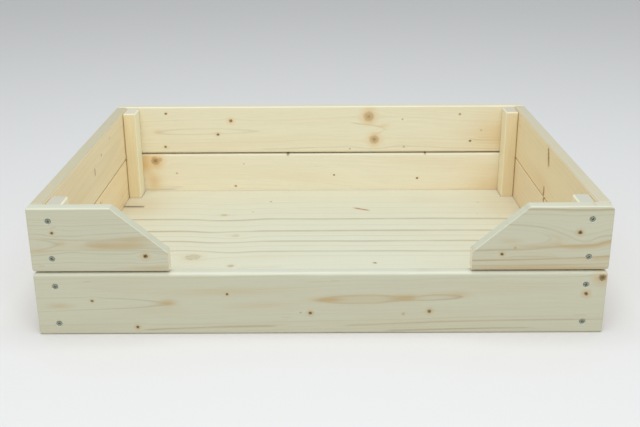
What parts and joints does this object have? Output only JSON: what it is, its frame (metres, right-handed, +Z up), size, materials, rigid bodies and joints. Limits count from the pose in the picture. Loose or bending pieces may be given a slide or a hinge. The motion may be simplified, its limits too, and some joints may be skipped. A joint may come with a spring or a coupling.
{
  "type": "hay and bedding box",
  "caption": "Low open-topped tray of planed spruce boards with corner posts, a solid floor and a cut-down front entry between two bevelled wings.",
  "frame": {"origin": "on the ground under the middle of the box's outline, halfway along its width and its depth", "axes": "+X along the front from the left wing to the right wing, +Y from the front with the low entry to the back wall, +Z up"},
  "size_m": [0.84, 0.64, 0.2],
  "materials": {
    "spruce_board": "planed, untreated pale spruce with rounded arrises, small dark knots and long straight grain",
    "spruce_post": "planed, untreated spruce batten with fine vertical grain",
    "spruce_panel": "smooth sanded, untreated wide spruce panel with bold grain lines across the width",
    "zinc_steel": "blue-passivated zinc-plated steel, countersunk head with cross recess"
  },
  "bodies": {
    "root": {"back_lower_board": "spruce_board", "back_screw_left_1": "zinc_steel", "back_screw_left_2": "zinc_steel", "back_screw_left_3": "zinc_steel", "back_screw_left_4": "zinc_steel", "back_screw_right_1": "zinc_steel", "back_screw_right_2": "zinc_steel", "back_screw_right_3": "zinc_steel", "back_screw_right_4": "zinc_steel", "back_upper_board": "spruce_board", "floor_panel": "spruce_panel", "floor_screw_left_1": "zinc_steel", "floor_screw_left_2": "zinc_steel", "floor_screw_left_3": "zinc_steel", "floor_screw_right_1": "zinc_steel", "floor_screw_right_2": "zinc_steel", "floor_screw_right_3": "zinc_steel", "front_left_wing": "spruce_board", "front_lower_board": "spruce_board", "front_right_wing": "spruce_board", "front_screw_left_1": "zinc_steel", "front_screw_left_2": "zinc_steel", "front_screw_left_3": "zinc_steel", "front_screw_left_4": "zinc_steel", "front_screw_right_1": "zinc_steel", "front_screw_right_2": "zinc_steel", "front_screw_right_3": "zinc_steel", "front_screw_right_4": "zinc_steel", "left_lower_board": "spruce_board", "left_screw_front_1": "zinc_steel", "left_screw_front_2": "zinc_steel", "left_screw_front_3": "zinc_steel", "left_screw_front_4": "zinc_steel", "left_screw_rear_1": "zinc_steel", "left_screw_rear_2": "zinc_steel", "left_screw_rear_3": "zinc_steel", "left_screw_rear_4": "zinc_steel", "left_upper_board": "spruce_board", "post_front_left": "spruce_post", "post_front_right": "spruce_post", "post_rear_left": "spruce_post", "post_rear_right": "spruce_post", "right_lower_board": "spruce_board", "right_screw_front_1": "zinc_steel", "right_screw_front_2": "zinc_steel", "right_screw_front_3": "zinc_steel", "right_screw_front_4": "zinc_steel", "right_screw_rear_1": "zinc_steel", "right_screw_rear_2": "zinc_steel", "right_screw_rear_3": "zinc_steel", "right_screw_rear_4": "zinc_steel", "right_upper_board": "spruce_board"}
  },
  "joints": []
}
